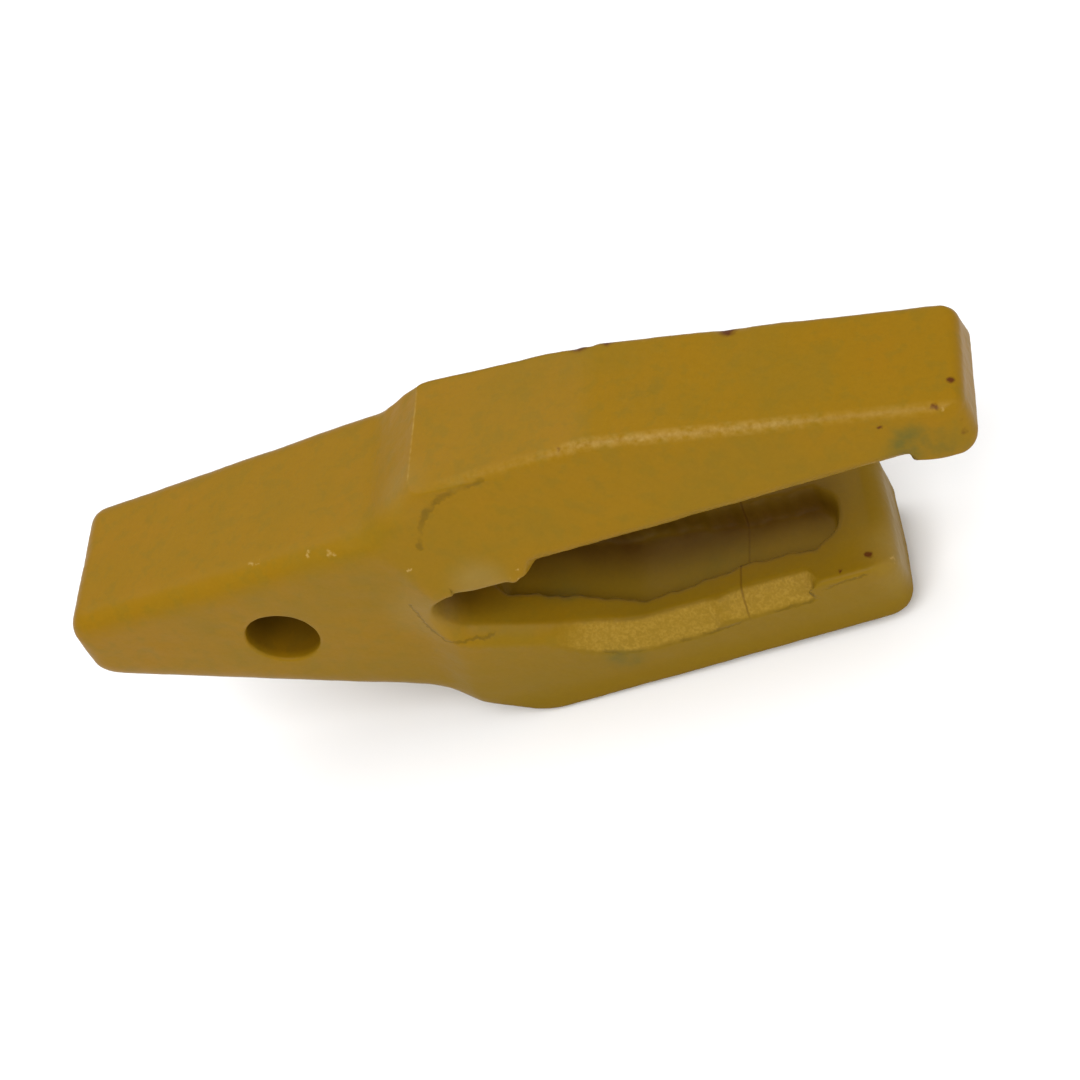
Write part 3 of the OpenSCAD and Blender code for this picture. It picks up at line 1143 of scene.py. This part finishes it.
@dataclass(frozen=True)
class CastPaint:
    """Ochre enamel over an as-cast steel surface."""

    ochre: Colour = (0.228, 0.119, 0.0022, 1.0)
    olive: Colour = (0.190, 0.113, 0.0050, 1.0)
    orange: Colour = (0.250, 0.119, 0.0022, 1.0)
    # Pale colour of rubbed edges and nicks, and of the painted highlight on the upper strap's near
    # ridge.
    worn_and_highlight: Colour = (0.37, 0.235, 0.062, 1.0)
    green: Colour = (0.098, 0.088, 0.014, 1.0)
    # Painted shade for the lower body.
    low: Colour = (0.168, 0.104, 0.0042, 1.0)
    rust: Colour = (0.085, 0.024, 0.003, 1.0)
    # Dark colour of the painted shade in the hollows; the mould seam uses it too.
    shade_and_seam: Colour = (0.050, 0.0125, 0.0004, 1.0)
    strip: Colour = (0.300, 0.180, 0.022, 1.0)
    # Dark colour of the scratches, mould lines and the painted crease shade.
    scratch_and_crease_shade: Colour = (0.088, 0.052, 0.0022, 1.0)
    dusty: Colour = (0.250, 0.165, 0.042, 1.0)
    fine_dark: Colour = (0.35, 0.35, 0.35, 1.0)
    fine_light: Colour = (0.65, 0.65, 0.65, 1.0)

    def make(self) -> bpy.types.Material:
        """Builds the material.

        The tone comes first, darkened low down by painted shade, then stains
        and painted shade in the hollows, lines (the first of them painted shade
        along a crease), rubbed edges with a painted highlight on the upper
        strap's near ridge, the strips' crumbs, a fine grain, rust and the seam.
        Noise and the same masks make the relief and the roughness.

        Returns:
            The material.
        """
        f = Finish("ochre_enamel")
        at = f.place()
        middle = f.noise(at, 13.0, 3.0, 0.55)
        fine = f.noise(at, 1.6, 3.0, 0.6)
        speck = f.noise(at, 0.75, 1.0)
        mottle = f.noise(at, 4.5, 3.0, 0.6)
        grain = f.mask("grain")
        painted_shade = f.mask("painted_shade")
        drawn = self.drawn_lines(f, at)
        seam = self.seam(f, at)
        paint = self.tone(f, at, middle, mottle)
        green = self.patches(f, at, GREEN_STAINS) * (mottle * 1.9 - 0.35).clipped()
        paint = f.blend(green, paint, self.green)
        # Painted shade in the slot, pocket, throat and bore.
        paint = f.blend((painted_shade * (0.45 + 0.6 * middle)).clipped(), paint, self.shade_and_seam)
        paint = f.blend(self.patches(f, at, DUST) * (0.5 + middle), paint, self.dusty)
        # Dark lines: scratches, mould lines and painted shade along the facet's crease.
        paint = f.blend(drawn * (0.15 + 0.6 * fine), paint, self.scratch_and_crease_shade)
        # Rubbed edges and nicks, and the painted highlight along the upper strap's near ridge.
        rubbed = (f.mask("wear_and_highlight") * (fine * 1.3 + middle * 0.7 - 0.72)).clipped()
        nicked = self.patches(f, f.frayed(at, 4.5), NICKS) * 0.75
        paint = f.blend((rubbed.larger(nicked) * 1.1).clipped(), paint, self.worn_and_highlight)
        paint = f.blend(self.crumbs(f, at, grain, fine, speck), paint, self.strip)
        grained = f.blend(fine * 0.6 + speck * 0.4, self.fine_dark, self.fine_light)
        paint = f.blend(0.30, paint, grained, "OVERLAY")
        rust = self.patches(f, f.frayed(at, 1.6), RUST_SPOTS)
        paint = f.blend((rust * (0.6 + fine * 0.8)).clipped(), paint, self.rust)
        # The mould seam, in the same dark colour as the painted shade.
        paint = f.blend(seam * 0.4, paint, self.shade_and_seam)
        height = middle * 0.16 + f.noise(at, 3.2) * 0.10 + fine * 0.075
        height = height + grain * (speck * 0.22 + fine * 0.26) - seam * 0.12 - drawn * 0.12
        relief = {"Strength": 0.55, "Distance": 0.001, "Height": height}
        bump = f.node("ShaderNodeBump", {}, relief, "Normal")
        sheen = 0.40 + (middle - 0.5) * 0.16 + (fine - 0.5) * 0.12 + grain * 0.14
        sheen = sheen + painted_shade * 0.12 + f.part(at, 2).step(-0.040, -0.050) * 0.4
        f.feed(Base_Color=paint, Roughness=sheen.clipped(), Normal=bump)
        f.feed(IOR=1.5, Specular_IOR_Level=0.075, Metallic=0.0)
        return f.material

    def tone(self, f: Finish, at: Signal, middle: Signal, mottle: Signal) -> Signal:
        """The enamel's own colour, ochre that drifts to olive and orange, under painted shade that
        makes it duller low down.
        """
        broad = f.noise(at, 46.0)
        drift = (broad * 0.6 + middle * 0.4).step(0.48, 0.66)
        paint = f.blend(drift * 0.5, self.ochre, self.olive)
        warm = (broad * 0.5 + middle * 0.5).step(0.50, 0.34)
        paint = f.blend(warm * 0.35, paint, self.orange)
        # Painted shade: darker and duller towards the bottom.
        paint = f.blend(f.part(at, 2).step(-0.004, -0.040) * 0.65, paint, self.low)
        return f.blend(mottle.step(0.48, 0.66) * 0.5, paint, self.olive)

    def patches(self, f: Finish, at: Signal, stains: tuple[Stain, ...]) -> Signal:
        """The strongest of a set of patches at each place."""
        return largest(f.spot(at, s.centre, s.inner, s.outer) * s.strength for s in stains)

    def crumbs(self, f: Finish, at: Signal, grain: Signal, fine: Signal, speck: Signal) -> Signal:
        """Pale crumbs on the rough strips, thinning out toward their borders."""
        frayed = (grain * 1.15 + (f.noise(at, 2.6, 2.0, 0.6) - 0.5) * 0.9 - 0.12).clipped()
        crumb = (speck * 0.5 + fine * 0.5).step(0.42, 0.66)
        return frayed * grain.step(0.02, 0.2) * (0.42 + crumb * 0.45)

    def drawn_lines(self, f: Finish, at: Signal) -> Signal:
        """The lines, frayed and broken up, on the near side only."""
        flat = f.vector("MULTIPLY", {0: f.frayed(at, 2.2), 1: (1.0, 0.0, 1.0)})
        drawn = largest(
            f.stroke(flat, start, end, width)
            for points, width in LINES
            for start, end in zip(points, points[1:])
        )
        broken = f.noise(at, 7.0).step(0.36, 0.56)
        return drawn * broken * f.part(at, 1).step(-0.012, -0.015)

    def seam(self, f: Finish, at: Signal) -> Signal:
        """A hairline across the lower strap's inner face, left by the mould."""
        x, y, z = (f.part(at, axis) for axis in range(3))
        line = (x - 0.1205).maths("ABSOLUTE", x - 0.1205).step(0.00045, 0.0001)
        return line * z.step(-0.026, -0.028) * z.step(-0.038, -0.034) * y.step(-0.026, -0.021)


@dataclass(frozen=True)
class Studio:
    """Plain pale floor, soft lights and the camera."""

    focal_mm: float = 81.4959
    yaw_deg: float = 30.53807
    pitch_deg: float = 45.26477
    roll_deg: float = -36.33322
    right_mm: float = 68.20608
    up_mm: float = 8.26710
    away_mm: float = 672.34095
    world: float = 0.62
    floor_tone: float = 0.93
    target: Place = (0.07, 0.0, 0.0)

    def axes(self) -> tuple[Vector, Vector, Vector]:
        """The camera's right, up and backward directions."""
        a, e, r = (math.radians(v) for v in (self.yaw_deg, self.pitch_deg, self.roll_deg))
        back = Vector((math.sin(a) * math.cos(e), -math.cos(a) * math.cos(e), math.sin(e)))
        level = Vector((math.cos(a), math.sin(a), 0.0))
        top = back.cross(level)
        right = math.cos(r) * level + math.sin(r) * top
        up = -math.sin(r) * level + math.cos(r) * top
        return right, up, back

    def camera(self) -> None:
        """Places the camera and makes it the scene's."""
        right, up, back = self.axes()
        lens = bpy.data.cameras.new("view")
        lens.sensor_width = 36.0
        lens.lens = self.focal_mm
        lens.clip_start = 0.01
        camera = bpy.data.objects.new("view", lens)
        turn = Matrix((right, up, back)).transposed()
        place = (self.right_mm * right + self.up_mm * up + self.away_mm * back) * MM
        camera.matrix_world = Matrix.Translation(place) @ turn.to_4x4()
        bpy.context.scene.collection.objects.link(camera)
        bpy.context.scene.camera = camera

    def floor(self, height: float) -> None:
        """Lays the floor at the casting's lowest point."""
        reach = 4.0
        mesh = bpy.data.meshes.new("floor")
        square = ((-reach, -reach), (reach, -reach), (reach, reach), (-reach, reach))
        mesh.from_pydata([(x, y, height) for x, y in square], [], [(0, 1, 2, 3)])
        floor = bpy.data.objects.new("floor", mesh)
        bpy.context.scene.collection.objects.link(floor)
        f = Finish("pale_floor")
        f.feed(Base_Color=(self.floor_tone,) * 3 + (1.0,), Roughness=0.9, Specular_IOR_Level=0.1)
        mesh.materials.append(f.material)

    def lamp(self, name: str, way: Place, size: float, power: float) -> None:
        """Adds a large soft lamp.

        Args:
            name: Its name.
            way: Direction from the casting to the lamp, about a metre long.
            size: Side of the square lamp in metres.
            power: Its power in watts.
        """
        light = bpy.data.lights.new(name, "AREA")
        light.size = size
        light.energy = power
        lamp = bpy.data.objects.new(name, light)
        lamp.location = Vector(self.target) + Vector(way)
        lamp.rotation_euler = Vector(way).to_track_quat("Z", "Y").to_euler()
        bpy.context.scene.collection.objects.link(lamp)

    def build(self, height: float) -> None:
        """Sets up camera, floor, lamps, surroundings and view transform."""
        self.camera()
        self.floor(height)
        self.lamp("key", (0.1, -0.75, 1.1), 0.9, 13.0)
        self.lamp("top", (-0.5, 0.5, 1.3), 1.2, 9.0)
        self.lamp("side", (1.25, -0.25, 0.3), 0.9, 3.0)
        world = bpy.data.worlds.new("surroundings")
        world.use_nodes = True
        sky = world.node_tree.nodes["Background"]
        sky.inputs["Color"].default_value = (1.0, 1.0, 1.0, 1.0)
        sky.inputs["Strength"].default_value = self.world
        bpy.context.scene.world = world
        bpy.context.scene.view_settings.view_transform = "Standard"


def main() -> None:
    """Builds the casting, dresses it, and sets up the studio."""
    logging.basicConfig(level=logging.INFO, format="%(name)s: %(message)s")
    casting = Casting().build()
    casting.data.materials.append(CastPaint().make())
    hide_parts("nose", "shoulder", "upper_strap", "lower_strap")
    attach(casting, "root")
    mesh = casting.data
    LOG.info("%s: %d points, %d faces", casting.name, len(mesh.vertices), len(mesh.polygons))
    lowest = min(v.co.z for v in mesh.vertices)
    Studio().build(lowest)


if __name__ == "__main__":
    main()
